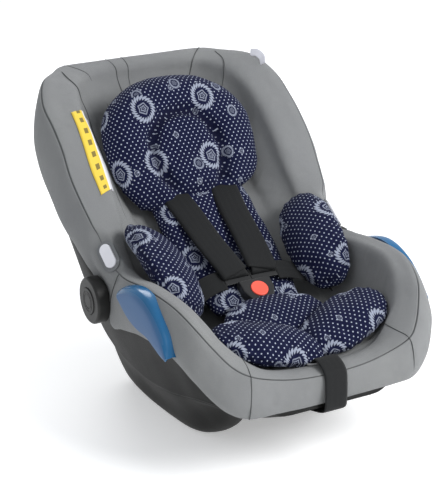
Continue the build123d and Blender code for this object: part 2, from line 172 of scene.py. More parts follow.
def cover_fabric(name, color, shade):
    """Grey padded woven cloth; the seam attribute darkens the stitching lines, partly dark thread and partly
    painted shade in the fold of the seam.
    """
    look = Look(name, color, 0.85, Sheen_Weight=0.1, Sheen_Roughness=0.4, Specular_IOR_Level=0.25)
    uv = look.coords("UV")
    place = look.coords("Object")
    threads = weave(look, uv, 0.0009)
    slub = look.noise(uv, 900.0, 1.0)
    soft = look.noise(place, 7.0, 3.0)
    tone = look.mix(look.remap(soft, 0.3, 0.7), color, shade)
    tone = look.mix(look.times(look.remap(slub, 0.35, 0.75), 0.22), tone, lin(196, 198, 196))
    tone = look.mix(look.times(threads, 0.16), look.mix(0.5, tone, lin(70, 72, 72)), tone)
    # Seam darkening: dark stitching plus painted shade in the seam's fold.
    seam = look.marked("seam")
    tone = look.mix(look.times(seam, 0.85), tone, lin(52, 54, 54))
    look.color(tone)
    wave = look.noise(place, 26.0, 2.0)
    crease = look.noise(look.scaled(place, (9, 22, 9)), 1.0, 3.0)
    low = look.bump(crease, 0.012, 0.4, look.bump(wave, 0.005, 0.45))
    look.bump(threads, 0.0004, 0.5, low)
    look.rough(look.remap(slub, 0.2, 0.8, 0.78, 0.92))
    return look.mat


def print_fabric(name):
    """Navy jersey with a fine dot lattice and scattered leafy rings and rosettes."""
    navy, ink = lin(11, 15, 42), lin(190, 198, 216)
    look = Look(name, navy, 0.85, Sheen_Weight=0.02, Sheen_Roughness=0.5, Specular_IOR_Level=0.12)
    uv = look.coords("UV")
    u, v, _ = look.split(uv)

    def wrapped(value, size, shift):
        part = look.math("FRACT", look.plus(look.math("DIVIDE", value, size), shift))
        return look.times(look.minus(part, 0.5), size)

    def length(a, b):
        return look.math("SQRT", look.plus(look.times(a, a), look.times(b, b)))

    step = 0.009
    near = look.math(
        "MINIMUM",
        length(wrapped(u, step, 0.0), wrapped(v, step * 1.25, 0.0)),
        length(wrapped(u, step, 0.5), wrapped(v, step * 1.25, 0.5)),
    )
    dots = look.times(look.remap(near, 0.0013, 0.00085, smooth=True), 0.9)

    def motif(size_u, size_v, radius, shift, seed, keep):
        """Ring of little leaves round a rosette, one to a cell."""
        cu = look.math("FLOOR", look.plus(look.math("DIVIDE", u, size_u), shift))
        cv = look.math("FLOOR", look.plus(look.math("DIVIDE", v, size_v), shift))
        chance = look.add("ShaderNodeTexWhiteNoise", noise_dimensions="3D")
        look.put(chance.inputs["Vector"], look.join(cu, cv, seed))
        rx, ry, rz = look.split(chance.outputs["Color"])
        x = look.plus(wrapped(u, size_u, shift), look.times(look.minus(rx, 0.5), size_u * 0.4))
        y = look.plus(wrapped(v, size_v, shift), look.times(look.minus(ry, 0.5), size_v * 0.4))
        far = look.math("DIVIDE", length(x, look.times(y, 0.86)), radius)
        turn = look.math("ARCTAN2", y, x)
        spiral = look.plus(look.times(turn, 11.0), look.times(far, 9.0))
        leaves = look.math("ABSOLUTE", look.math("SINE", spiral))
        off = look.math("ABSOLUTE", look.minus(far, 0.8))
        ring = look.remap(look.minus(off, look.times(leaves, 0.2)), 0.03, -0.03, smooth=True)
        petals = look.math("ABSOLUTE", look.math("SINE", look.times(turn, 2.5)))
        waves = look.math("SINE", look.plus(look.times(far, 34.0), look.times(petals, 3.2)))
        inner = look.minus(0.5, look.times(petals, 0.09))
        rose = look.times(look.remap(waves, -0.1, 0.3, smooth=True),
                         look.remap(look.minus(far, inner), 0.02, -0.05, smooth=True))
        there = look.math("LESS_THAN", rz, keep)
        drawn = look.times(look.math("MAXIMUM", ring, look.times(rose, 0.75)), there)
        return drawn, look.times(look.math("LESS_THAN", far, 1.04), there)

    large, hole = motif(0.098, 0.101, 0.021, 0.0, 3.0, 0.9)
    small, gap = motif(0.071, 0.067, 0.0095, 0.37, 8.0, 0.75)
    sprig, _ = motif(0.047, 0.041, 0.0048, 0.71, 5.0, 0.45)
    clear = look.minus(1.0, look.math("MAXIMUM", hole, gap), clamp=True)
    drawn = look.math("MAXIMUM", look.times(dots, clear), look.times(large, 0.62))
    drawn = look.math("MAXIMUM", drawn, look.times(look.times(small, 0.5), look.minus(1.0, hole, clamp=True)))
    drawn = look.math("MAXIMUM", drawn, look.times(look.times(sprig, 0.5), clear))
    fibre = look.noise(uv, 1400.0, 1.0)
    cloth = look.mix(look.remap(fibre, 0.3, 0.7), navy, lin(18, 23, 56))
    printed = look.mix(look.times(drawn, look.remap(fibre, 0.2, 0.6, 0.75, 0.95)), cloth, ink)
    # The seam attribute darkens the print along the cushion seams; on the head cushion it also carries
    # painted shade in the groove round the inner pad.
    seam = look.marked("seam")
    look.color(look.mix(look.times(seam, 0.7), printed, lin(10, 11, 30)))
    knit = weave(look, uv, 0.0007)
    low = look.bump(look.noise(look.coords("Object"), 38.0, 3.0), 0.005, 0.45)
    look.bump(knit, 0.0003, 0.5, low)
    return look.mat


def webbing(name):
    """Black harness webbing: slanted ribs, flat selvedge."""
    look = Look(name, lin(24, 25, 26), 0.7, Sheen_Weight=0.03, Sheen_Roughness=0.4, Specular_IOR_Level=0.2)
    u, v, _ = look.split(look.coords("UV"))
    fold = look.math("PINGPONG", u, 0.005)
    rib = look.math("SINE", look.times(look.plus(v, fold), 2 * math.pi / 0.0017))
    thread = look.math("SINE", look.times(u, 2 * math.pi / 0.0011))
    tone = look.mix(look.remap(look.times(rib, thread), -1, 1), lin(17, 18, 19), lin(31, 32, 33))
    edge = look.marked("edge")
    look.color(look.mix(look.times(edge, 0.5), tone, lin(40, 41, 42)))
    look.bump(look.plus(rib, look.times(thread, 0.6)), 0.0002, 0.5)
    return look.mat


def moulded(name, color, rough, grain=2600.0, depth=0.00008, worn=None, **sockets):
    """Moulded plastic with fine grain, faint mottling and lighter worn edges."""
    look = Look(name, color, rough, **sockets)
    place = look.coords("Object")
    fine = look.noise(place, grain, 1.0)
    broad = look.noise(place, 16.0, 4.0)
    lighter = tuple(min(1.0, c * 1.25 + 0.004) for c in color)
    tone = look.mix(look.remap(broad, 0.3, 0.7), color, lighter)
    edge = look.remap(look.add("ShaderNodeNewGeometry").outputs["Pointiness"], 0.53, 0.62)
    tone = look.mix(look.times(edge, 0.45), tone, worn or tuple(min(1.0, c * 2.2 + 0.02) for c in color))
    look.color(tone)
    look.rough(look.remap(broad, 0.25, 0.75, rough - 0.05, rough + 0.08))
    look.bump(fine, depth, 0.5)
    return look


def steel(name):
    look = Look(name, (0.55, 0.55, 0.57), 0.32, Metallic=1.0)
    place = look.coords("Object")
    brushed = look.noise(look.scaled(place, (20, 900, 900)), 1.0)
    look.rough(look.remap(brushed, 0.3, 0.7, 0.26, 0.42))
    look.bump(brushed, 0.00005, 0.4)
    return look.mat


GREY = cover_fabric("grey_cover", lin(145, 146, 148), lin(153, 154, 154))
PRINT = print_fabric("navy_print")
WEBBING = webbing("black_webbing")
BLACK_BASE = moulded("base_plastic", lin(9, 9, 8), 0.5, depth=0.00012, Specular_IOR_Level=0.16).mat
HUB_BLACK = moulded("hub_plastic", lin(20, 20, 19), 0.4, depth=0.0001, Specular_IOR_Level=0.35).mat
BUCKLE_BLACK = moulded("buckle_plastic", lin(20, 20, 21), 0.36).mat
RED = moulded("button_plastic", lin(246, 84, 66), 0.38, worn=lin(250, 140, 125)).mat
WHITE = moulded("oval_plastic", lin(208, 208, 214), 0.35, worn=lin(232, 232, 236)).mat
SURROUND = moulded("surround_plastic", lin(98, 100, 102), 0.5).mat
STEEL = steel("plated_steel")
RUBBER = moulded("foot_rubber", lin(30, 30, 30), 0.8, grain=900.0, depth=0.0002).mat


def blue_plastic():
    """Blue guide: saturated gloss on the rim; a greyer, lighter blue is painted on faces that point sideways,
    the flat outer face, as painted light, and those faces get less coat and more roughness.
    """
    look = moulded("guide_plastic", lin(8, 84, 128), 0.24, grain=1500.0, worn=lin(60, 140, 186),
                   Coat_Weight=0.25, Coat_Roughness=0.12, Specular_IOR_Level=0.35)
    outward = look.math("ABSOLUTE", look.split(look.add("ShaderNodeNewGeometry").outputs["Normal"])[0])
    flat = look.remap(outward, 0.8, 0.97, smooth=True)
    before = look.shader.inputs["Base Color"].links[0].from_socket
    # Painted light: faces pointing along ±X are mixed towards a lighter, greyer blue, standing in for the
    # light on the flat outer face.
    look.color(look.mix(look.times(flat, 0.75), before, lin(58, 88, 128)))
    look.put(look.shader.inputs["Coat Weight"], look.remap(flat, 0.0, 1.0, 0.3, 0.0))
    look.rough(look.remap(flat, 0.0, 1.0, 0.24, 0.5))
    return look.mat


BLUE = blue_plastic()


# ---------- mesh helpers ----------
def new_object(name, points, faces, material, uvs=None, marks=None):
    """Smooth mesh from points in metres; uvs one (u, v) a point, marks {attribute: value a point}."""
    mesh = bpy.data.meshes.new(name)
    mesh.from_pydata([tuple(map(float, p)) for p in points], [], [tuple(map(int, f)) for f in faces])
    mesh.update()
    for polygon in mesh.polygons:
        polygon.use_smooth = True
    obj = bpy.data.objects.new(name, mesh)
    bpy.context.collection.objects.link(obj)
    mesh.materials.append(material)
    if uvs is not None:
        set_uv(mesh, uvs)
    for key, values in (marks or {}).items():
        layer = mesh.attributes.new(key, "FLOAT", "POINT")
        layer.data.foreach_set("value", np.asarray(values, dtype=np.float32))
    return obj


def set_uv(mesh, uvs):
    layer = mesh.uv_layers.get("UVMap") or mesh.uv_layers.new(name="UVMap")
    corners = np.empty(len(mesh.loops), dtype=np.int32)
    mesh.loops.foreach_get("vertex_index", corners)
    layer.data.foreach_set("uv", np.asarray(uvs, dtype=np.float32)[corners].ravel())


def add_modifier(obj, kind, **settings):
    made = obj.modifiers.new(kind.title(), kind)
    for key, value in settings.items():
        setattr(made, key, value)
    return made


def apply_modifiers(obj):
    """Replaces obj's mesh with its evaluated one."""
    shown = obj.evaluated_get(bpy.context.evaluated_depsgraph_get())
    mesh = bpy.data.meshes.new_from_object(shown)
    mesh.name = obj.name
    obj.modifiers.clear()
    obj.data = mesh


def spline(knots, samples):
    """Catmull-Rom through knots (n, d), at the given positions counted in knots."""
    knots = np.asarray(knots, dtype=float)
    last = len(knots) - 1
    samples = np.clip(np.asarray(samples, dtype=float), 0, last)
    i = np.minimum(samples.astype(int), last - 1)
    t = (samples - i)[:, None] if knots.ndim == 2 else (samples - i)[:, None, None]
    p0, p1, p2, p3 = knots[np.maximum(i - 1, 0)], knots[i], knots[i + 1], knots[np.minimum(i + 2, last)]
    return 0.5 * (2 * p1 + (p2 - p0) * t + (2 * p0 - 5 * p1 + 4 * p2 - p3) * t**2
                  + (3 * p1 - p0 - 3 * p2 + p3) * t**3)


def resampled(points, count):
    """Evenly spaced points along a smooth curve through points."""
    dense = spline(points, np.linspace(0, len(points) - 1, 40 * len(points)))
    along = np.concatenate([[0], np.cumsum(np.linalg.norm(np.diff(dense, axis=0), axis=1))])
    want = np.linspace(0, along[-1], count)
    return np.stack([np.interp(want, along, dense[:, k]) for k in range(dense.shape[1])], axis=1)


def grid_faces(rows, columns, closed=False, flip=False):
    faces = []
    for r in range(rows - 1):
        for c in range(columns if closed else columns - 1):
            d = (c + 1) % columns
            quad = (r * columns + c, r * columns + d, (r + 1) * columns + d, (r + 1) * columns + c)
            faces.append(quad[::-1] if flip else quad)
    return faces


def tube(name, route, radius, material, sides, closed=False):
    """Round bead along route (n, 3) in metres."""
    route = np.asarray(route, dtype=float)
    n = len(route)
    run = np.roll(route, -1, 0) - np.roll(route, 1, 0)
    if not closed:
        run[0], run[-1] = route[1] - route[0], route[-1] - route[-2]
    run /= np.linalg.norm(run, axis=1)[:, None]
    side = np.zeros_like(run)
    hint = np.array([0.0, 0.0, 1.0]) if abs(run[0][2]) < 0.9 else np.array([1.0, 0.0, 0.0])
    for i in range(n):
        hint = hint - run[i] * hint.dot(run[i])
        hint /= np.linalg.norm(hint)
        side[i] = hint
    other = np.cross(run, side)
    turn = np.linspace(0, 2 * np.pi, sides, endpoint=False)
    points = (route[:, None] + radius * np.cos(turn)[None, :, None] * side[:, None]
              + radius * np.sin(turn)[None, :, None] * other[:, None]).reshape(-1, 3)
    faces = grid_faces(n, sides, closed=True)
    last = (n - 1) * sides
    if closed:
        faces += [(last + c, last + (c + 1) % sides, (c + 1) % sides, c) for c in range(sides)]
    else:
        faces += [tuple(range(sides))[::-1], tuple(last + c for c in range(sides))]
    along = np.concatenate([[0], np.cumsum(np.linalg.norm(np.diff(route, axis=0), axis=1))])
    uvs = [(radius * t, s) for s in along for t in turn]
    return new_object(name, points, faces, material, uvs)


def strap(name, route, width, material, thick=0.002, across=(1, 0, 0), cup=0.0, count=60):
    """Webbing along route (mm), flat, with rounded selvedges; cup lowers them by that many mm."""
    route = np.asarray(route, dtype=float)
    middle = resampled(route, count) * MM
    side = np.repeat(np.asarray(across, dtype=float)[None], count, axis=0)
    run = np.gradient(middle, axis=0)
    run /= np.linalg.norm(run, axis=1)[:, None]
    side -= run * np.sum(run * side, axis=1)[:, None]
    side /= np.linalg.norm(side, axis=1)[:, None]
    up = np.cross(side, run)
    half = width * MM / 2
    cross = 13
    upper = []
    for k in range(cross):
        t = -1 + 2 * k / (cross - 1)
        upper.append((t, 0.5 * math.sqrt(max(0.0, 1 - abs(t) ** 14))))
    outline = upper + [(t, -h) for t, h in reversed(upper[1:-1])]
    points, uvs, edge = [], [], []
    along = np.concatenate([[0], np.cumsum(np.linalg.norm(np.diff(middle, axis=0), axis=1))])
    for i in range(count):
        for t, h in outline:
            points.append(middle[i] + side[i] * half * t + up[i] * (h * thick - cup * MM * t * t))
            uvs.append((half * t, along[i]))
            edge.append(1.0 if abs(t) > 0.9 else 0.0)
    n = len(outline)
    faces = grid_faces(count, n, closed=True)
    faces += [tuple(range(n))[::-1], tuple((count - 1) * n + c for c in range(n))]
    return new_object(name, points, faces, material, uvs, {"edge": edge})


def blob(centre, axes, half, square, rings=40, around=56, shape=None):
    """Closed superellipsoid, centre and half sizes in mm, on three unit axes; shape may move its points."""
    axes = np.asarray(axes, dtype=float)
    power = 2.0 / square
    points = []
    for r in range(1, rings):
        lat = -math.pi / 2 + math.pi * r / rings
        for a in range(around):
            lon = 2 * math.pi * a / around
            c, s = math.cos(lat), math.sin(lat)
            x = math.copysign(abs(math.cos(lon)) ** power, math.cos(lon)) * c**0.8
            y = math.copysign(abs(math.sin(lon)) ** power, math.sin(lon)) * c**0.8
            points.append((x * half[0], y * half[1], s * half[2]))
    points += [(0, 0, -half[2]), (0, 0, half[2])]
    points = np.array(points)
    if shape is not None:
        points = np.array([shape(*p) for p in points])
    points = (np.asarray(centre, dtype=float) + points @ axes) * MM
    faces = grid_faces(rings - 1, around, closed=True)
    bottom, top = len(points) - 2, len(points) - 1
    faces += [(bottom, (a + 1) % around, a) for a in range(around)]
    last = (rings - 2) * around
    faces += [(last + a, last + (a + 1) % around, top) for a in range(around)]
    return points, faces


def mesh_arrays(mesh):
    points = np.empty(len(mesh.vertices) * 3)
    mesh.vertices.foreach_get("co", points)
    normals = np.empty(len(mesh.vertices) * 3)
    mesh.vertices.foreach_get("normal", normals)
    return points.reshape(-1, 3), normals.reshape(-1, 3)


def stuffed(name, points, faces, cap, voxel, pressure, pins=None, shrink=0.0, frames=18):
    """Printed cushion: a remeshed closed form that swells as cloth, no point by more than cap mm."""
    obj = new_object(name, points, faces, PRINT)
    add_modifier(obj, "REMESH", mode="VOXEL", voxel_size=voxel * MM, use_smooth_shade=True)
    apply_modifiers(obj)
    before, _ = mesh_arrays(obj.data)
    cloth = add_modifier(obj, "CLOTH")
    setup = cloth.settings
    setup.quality = 5
    setup.mass = 0.2
    setup.tension_stiffness = setup.compression_stiffness = 12
    setup.shear_stiffness = 4
    setup.bending_stiffness = 0.4
    setup.use_pressure = True
    setup.uniform_pressure_force = pressure
    setup.shrink_min = shrink
    setup.effector_weights.gravity = 0
    cloth.collision_settings.use_collision = False
    if pins is not None:
        held = obj.vertex_groups.new(name="held")
        for index, p in enumerate(before):
            weight = pins(p / MM)
            if weight > 0:
                held.add([index], weight, "REPLACE")
        setup.vertex_group_mass = "held"
    cloth.point_cache.frame_start, cloth.point_cache.frame_end = 1, frames
    for step in range(1, frames + 1):
        bpy.context.scene.frame_set(step)
    apply_modifiers(obj)
    bpy.context.scene.frame_set(1)
    after, _ = mesh_arrays(obj.data)
    shift = after - before
    size = np.linalg.norm(shift, axis=1)[:, None]
    shift *= np.minimum(1.0, cap * MM / np.maximum(size, 1e-9))
    obj.data.vertices.foreach_set("co", (before + shift).ravel())
    obj.vertex_groups.clear()
    obj.data.update()
    return obj


def finish_cushion(obj, u_dir, v_dir, origin, top, marks, relief):
    """Adds seam relief and marks, wraps the print round the sides, and subdivides once."""
    points, normals = mesh_arrays(obj.data)
    points = points + normals * (np.array([relief(p / MM) for p in points]) * MM)[:, None]
    obj.data.vertices.foreach_set("co", points.ravel())
    obj.data.update()
    points, normals = mesh_arrays(obj.data)
    u_dir, v_dir, origin = (np.asarray(v, dtype=float) for v in (u_dir, v_dir, origin))
    face = np.cross(u_dir, v_dir)
    rel = points - origin * MM
    deep = np.maximum(0.0, top * MM - rel @ face)
    flat = np.stack([rel @ u_dir, rel @ v_dir], axis=1)
    lean = np.stack([normals @ u_dir, normals @ v_dir], axis=1)
    length = np.linalg.norm(lean, axis=1)[:, None]
    steep = np.clip((length - 0.55) / 0.35, 0, 1)
    set_uv(obj.data, flat + lean / np.maximum(length, 1e-6) * steep * deep[:, None] * 0.55)
    if marks is not None:
        layer = obj.data.attributes.new("seam", "FLOAT", "POINT")
        layer.data.foreach_set("value", np.array([marks(p / MM) for p in points], dtype=np.float32))
    add_modifier(obj, "SUBSURF", levels=1, render_levels=1)
    for polygon in obj.data.polygons:
        polygon.use_smooth = True


def outward(obj, merge=None):
    """Turns every face of a mesh outwards, once points nearer than merge are one."""
    bm = bmesh.new()
    bm.from_mesh(obj.data)
    if merge:
        bmesh.ops.remove_doubles(bm, verts=bm.verts, dist=merge)
    bmesh.ops.recalc_face_normals(bm, faces=bm.faces)
    bm.to_mesh(obj.data)
    bm.free()


# ---------- padded cover ----------
# From the middle of the front edge round the +X side to the middle of the head end, in mm:
# hem, seam along the outer crest, inner edge of the rim, wall, foot of the wall, swell of the side panel
COVER = [
    ((0, -304, 104), (0, -307, 151), (0, -274, 153), (0, -258, 151), (0, -236, 148), 4),
    ((50, -304, 104.5), (50, -306.5, 153.5), (50, -273, 154), (50, -258, 151), (46, -236, 147), 4),
    ((95, -304, 106), (95, -304, 161), (89, -268, 160), (86, -256, 154), (80, -238, 149), 5),
    ((138, -303, 108), (134, -301, 174), (111, -260, 171), (106, -251, 160), (98, -236, 150), 8),
    ((164, -292, 118), (156, -286, 187), (129, -251, 186), (121, -243, 167), (108, -226, 148), 12),
    ((186, -275, 140), (175, -264, 211), (147, -240, 204), (136, -230, 171), (116, -208, 138), 11),
    ((200, -257, 160), (189, -240, 233), (158, -222, 222), (144, -212, 174), (120, -190, 123), 9),
    ((207, -214, 178), (198, -204, 249), (168, -195, 240), (152, -185, 180), (122, -168, 122), 9),
    ((210, -165, 181), (203, -162, 254), (174, -155, 248), (158, -150, 186), (122, -140, 122), 10),
    ((211, -94, 172), (204, -94, 249), (175, -90, 243), (158, -90, 188), (118, -90, 128), 9),
    ((212, -40, 160), (204, -40, 241), (174, -40, 234), (158, -40, 194), (112, -40, 159), 6),
    ((212, 0, 152), (203, 3, 243), (172, 0, 238), (154, 2, 214), (106, 6, 194), 4),
    ((211, 44, 205), (204, 40, 266), (166, 45, 264), (148, 48, 240), (101, 54, 224), 1),
    ((217, 80, 229), (210, 68, 297), (160, 72, 294), (142, 78, 266), (99, 88, 246), 6),
    ((220, 110, 246), (215, 97, 327), (159, 97, 322), (140, 106, 290), (98, 120, 266), 9),
    ((223, 141, 264), (218, 124, 356), (159, 124, 350), (138, 136, 314), (98, 150, 284), 12),
    ((223, 178, 290), (216, 156, 389), (158, 156, 382), (136, 168, 340), (98, 182, 303), 13),
    ((222, 216, 320), (215, 192, 416), (156, 189, 408), (134, 202, 366), (97, 216, 324), 13),
    ((214, 256, 354), (213, 235, 441), (153, 229, 432), (132, 238, 392), (95, 250, 346), 11),
    ((189, 298, 380), (193, 281, 464), (141, 266, 450), (122, 268, 412), (88, 272, 366), 5),
    ((151, 333, 392), (156, 325, 466), (122, 296, 455), (106, 292, 424), (76, 286, 380), 2),
    ((122, 358, 400), (128, 349, 467), (98, 316, 457), (82, 308, 428), (58, 292, 386), 3),
    ((64, 364, 404), (64, 352, 467), (50, 326, 457), (42, 318, 430), (30, 298, 388), 5),
    ((0, 366, 404), (0, 353, 467), (0, 328, 457), (0, 320, 430), (0, 300, 389), 5),
]
OVAL_C = np.array((203.0, 22.0, 256.0))
OVAL_OUT = np.array((0.75, -0.359, 0.555)) / np.linalg.norm((0.75, -0.359, 0.555))
OVAL_UP = np.array((0.0, 0.839, 0.544))


def cover_knots():
    """Knots (station, row, 3) of the +X half: the tucked hem, the crest, the middle of the floor."""
    crest = np.array([s[1] for s in COVER], dtype=float)
    run = np.gradient(crest, axis=0)
    run[0] = np.array([1, 0, 0])
    run[-1] = np.array([-1, 0, 0])
    rows = []
    for i, (hem, top, inner, wall, foot, swell) in enumerate(COVER):
        hem, top, inner, wall, foot = (np.array(p, dtype=float) for p in (hem, top, inner, wall, foot))
        out = np.array([run[i][1], -run[i][0], 0.0])
        out /= np.linalg.norm(out)
        tuck = hem - out * 9 + np.array([0, 0, 3])
        low = hem + (top - hem) * 0.3 + out * swell
        high = hem + (top - hem) * 0.72 + out * swell * 0.95
        crown = (top + inner) / 2 + np.array([0, 0, 3.5]) + np.array([0, -0.5, 0]) * (i > 12)
        rows.append([tuck, hem, low, high, top, crown, inner, wall * 0.55 + inner * 0.45 + [0, 0, -3],
                     wall * 0.6 + foot * 0.4, foot, np.array([0, foot[1], foot[2] - 4])])
    return np.array(rows)


KNOTS = cover_knots()


def cover_point(s, v):
    """Point of the cover in mm; s counts stations, negative on the -X side, v counts rows."""
    row = spline(KNOTS, [abs(s)])[0]
    p = spline(row, [v])[0]
    return np.array([math.copysign(1, s) * p[0], p[1], p[2]]) if s else p


def make_cover():
    """Sheet over the knots with a sewn groove along the crest, drawn down round the two ovals."""
    hem, fine, middle = [0, 0.5, 0.85], [3.84, 3.92, 3.965, 4.0, 4.035, 4.08, 4.16], [10.0]
    rows = np.unique(np.concatenate([hem, np.arange(1, 3.8, 0.2), fine, np.arange(4.3, 9.95, 0.2), middle]))
    sections = spline(KNOTS, np.linspace(0, 23, 23 * 7 + 1))
    sheet = np.stack([spline(section, rows) for section in sections])
    left = sheet[1:-1][::-1].copy()
    left[:, :, 0] *= -1
    sheet = np.concatenate([sheet, left])
    columns = len(sheet)
    across = np.roll(sheet, -1, 0) - np.roll(sheet, 1, 0)
    down = np.gradient(sheet, axis=1)
    normal = np.cross(across, down)
    normal /= np.maximum(np.linalg.norm(normal, axis=2), 1e-9)[:, :, None]
    seam = np.zeros(len(rows))
    groove = np.zeros(len(rows))
    # Crest rows: row, darkening mark (dark thread plus painted shade in the seam's fold), and groove depth in
    # mm.
    stitched = ((4.0, 1.0, -2.0), (3.965, 0.55, -1.0), (4.035, 0.55, -1.0), (3.92, 0, 0.4), (4.08, 0, 0.4))
    for value, mark, depth in stitched:
        seam[np.argmin(abs(rows - value))] = mark
        groove[np.argmin(abs(rows - value))] = depth
    if normal[10, 12, 0] < 0:
        normal = -normal
    for c in range(columns):
        for r in range(len(rows)):
            p = sheet[c, r]
            soft = noise.noise(Vector(p / 60.0)) * 1.6 + noise.noise(Vector(p / 22.0)) * 0.5
            fade = 0.3 if 3.8 < rows[r] < 4.2 else min(1.0, 10 - rows[r])
            sheet[c, r] = p + normal[c, r] * (groove[r] + soft * fade)
            q = sheet[c, r].copy()
            sign = -1.0 if q[0] < 0 else 1.0
            q[0] *= sign
            rel = q - OVAL_C
            high = rel @ OVAL_OUT
            flat = rel - high * OVAL_OUT
            reach = math.sqrt((flat @ OVAL_UP / 33) ** 2 + (flat @ np.cross(OVAL_OUT, OVAL_UP) / 21) ** 2)
            if reach < 1.7 and high > -26:
                pull = float(np.clip((1.7 - reach) / 0.7, 0, 1))
                pull = pull * pull * (3 - 2 * pull)
                q = q + OVAL_OUT * (-2.5 - high) * pull
                sheet[c, r] = q * [sign, 1, 1]
    steps = np.linalg.norm(np.diff(sheet, axis=1), axis=2).mean(axis=0)
    v_uv = np.concatenate([[0], np.cumsum(steps)]) * MM
    ring = sheet[:, int(np.argmin(abs(rows - 4.0)))]
    u_uv = np.concatenate([[0], np.cumsum(np.linalg.norm(np.diff(ring, axis=0), axis=1))]) * MM
    points = np.transpose(sheet, (1, 0, 2)).reshape(-1, 3) * MM
    uvs = [(u, v) for v in v_uv for u in u_uv]
    marks = np.repeat(seam, columns)
    faces = grid_faces(len(rows), columns, closed=True, flip=True)
    cover = new_object("cover", points, faces, GREY, uvs, {"seam": marks})
    outward(cover, merge=0.0002)
    add_modifier(cover, "SUBSURF", levels=1, render_levels=1)
    return cover


cover = make_cover()
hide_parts("seat_cover", "impact_foam")
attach(cover, "seat")

SEAM = Look("seam_thread", lin(66, 68, 68), 0.8)
STITCH = 0.003
SEAM.bump(SEAM.math("SINE", SEAM.times(SEAM.split(SEAM.coords("UV"))[1], 2 * math.pi / STITCH)), 0.0004, 0.8)


def seam_line(name, marks):
    """Thin stitched seam, 1.4 mm across, over the cover through (station, row) marks."""
    marks = np.asarray(marks, dtype=float)
    way = spline(marks, np.linspace(0, len(marks) - 1, 26 * (len(marks) - 1) + 1))
    route = np.array([cover_point(s, v) for s, v in way]) * MM
    line = tube(name, route, 0.7 * MM, SEAM.mat, sides=6)
    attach(line, "seat")


SIDE_SEAMS = {
    "corner_seam": [(3, 1.0), (3, 2.5), (3, 4.0)],
    "thigh_seam": [(11.05, 1.05), (10.9, 2.4), (10.6, 3.4), (10.5, 4.0)],
    "head_corner_seam": [(21.0, 4.0), (21.0, 6.0), (20.9, 8.5)],
    "inner_corner_seam": [(3, 4.0), (3.3, 5.2), (4.0, 6.6)],
    "wing_seam": [(20.1, 4.65), (19.3, 5.9), (18.7, 7.45), (16.6, 7.6)],
}
WING_TAIL = [(14.8, 7.45), (13.5, 7.5)]     # on the right only: the left one would dip under the cloth
for side, label in ((1, "left"), (-1, "right")):
    for seam, marks in SIDE_SEAMS.items():
        if seam == "wing_seam" and side < 0:
            marks = marks + WING_TAIL
        seam_line(f"{seam}_{label}", [(s * side, v) for s, v in marks])
seam_line("pleat_outer", [(-22.2, 4.0), (-22.15, 6.0), (-22.0, 8.4)])
seam_line("pleat_inner", [(-22.6, 4.0), (-22.55, 6.0), (-22.4, 8.4)])


# ---------- rocker base ----------
# y; height, half width and corner rise of the bottom; half width and height of the ledge and of the hem
HULL = [
    (-301, 100, 70, 5, 108, 118, 122, 128), (-280, 94, 95, 7, 138, 118, 150, 140),
    (-255, 86, 108, 9, 160, 116, 176, 160), (-217, 72, 106, 14, 172, 112, 196, 180),
    (-176, 31, 106, 16, 174, 100, 202, 186), (-130, 4, 112, 12, 177, 88, 204, 184),
    (-60, -6, 118, 16, 180, 80, 205, 172), (30, -6, 122, 16, 183, 88, 204, 170),
    (91, 10, 124, 14, 185, 112, 209, 220), (144, 62, 124, 16, 184, 160, 216, 268),
    (200, 146, 110, 18, 176, 226, 212, 308), (260, 240, 94, 20, 164, 306, 197, 358),
    (320, 330, 78, 18, 132, 366, 148, 388), (350, 382, 58, 10, 92, 396, 100, 402),
]
# Arch under the front, between the two runners: y and rise
ARCH = np.array([(-264, 0), (-217, 10), (-176, 32), (-130, 45), (-60, 34), (-22, 12), (20, 0)])
FLOOR_SKIN = 3.4        # least height of the skin's inner face, and the thickness of the skin


def make_base():
    """Outer pan on two runners, its section run along y and mirrored."""
    rows = np.array(HULL, dtype=float)
    samples = np.linspace(0, len(HULL) - 1, 120)
    table = spline(rows, samples)
    sections = []
    for y, low, flat, rise, ledge_x, ledge_z, hem_x, hem_z in table:
        arch = low + float(np.interp(y, ARCH[:, 0], ARCH[:, 1]))
        inner = min(90.0, flat - 8)
        knots = np.array([
            (0, arch), (inner * 0.5, arch), (inner - 10, arch), (inner - 6, arch * 0.8 + low * 0.2),
            (inner - 2, arch * 0.15 + low * 0.85), (inner + 3, low), (flat - 2, low),
            (flat + 12, low + 0.35 * rise), (flat + 24, low + rise + 3),
            (flat + 24 + 0.5 * (ledge_x - 14 - flat - 24), low + rise + 0.52 * (ledge_z - 6 - low - rise)),
            (ledge_x - 9, ledge_z - 7), (ledge_x - 7, ledge_z - 2.5),
            (ledge_x - 1.5, ledge_z - 0.5), (ledge_x + 0.5, ledge_z + 4),
            (0.5 * (ledge_x + hem_x) + 1, 0.5 * (ledge_z + hem_z)), (hem_x, hem_z), (hem_x - 2, hem_z + 22),
        ])
        across = spline(knots, np.linspace(0, len(knots) - 1, 76))
        across[:, 1] = np.maximum(across[:, 1], FLOOR_SKIN)
        sections.append([(x, y, z) for x, z in across])
    half = np.array(sections)
    mirrored = half[:, 1:][:, ::-1].copy()
    mirrored[:, :, 0] *= -1
    full = np.concatenate([mirrored, half], axis=1)
    n_y, n_x = full.shape[:2]
    points = full.reshape(-1, 3) * MM
    faces = grid_faces(n_y, n_x, flip=True)
    faces.append(tuple(range(n_x)))
    faces.append(tuple((n_y - 1) * n_x + c for c in range(n_x))[::-1])
    base = new_object("base_pan", points, faces, BLACK_BASE)
    outward(base)
    return base


base = make_base()
add_modifier(base, "SOLIDIFY", thickness=FLOOR_SKIN * MM, offset=1.0)
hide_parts("base_shell", "seat_shell")
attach(base, "seat")


# ---------- infant insert ----------
def unit(v):
    v = np.asarray(v, dtype=float)
    return v / np.linalg.norm(v)


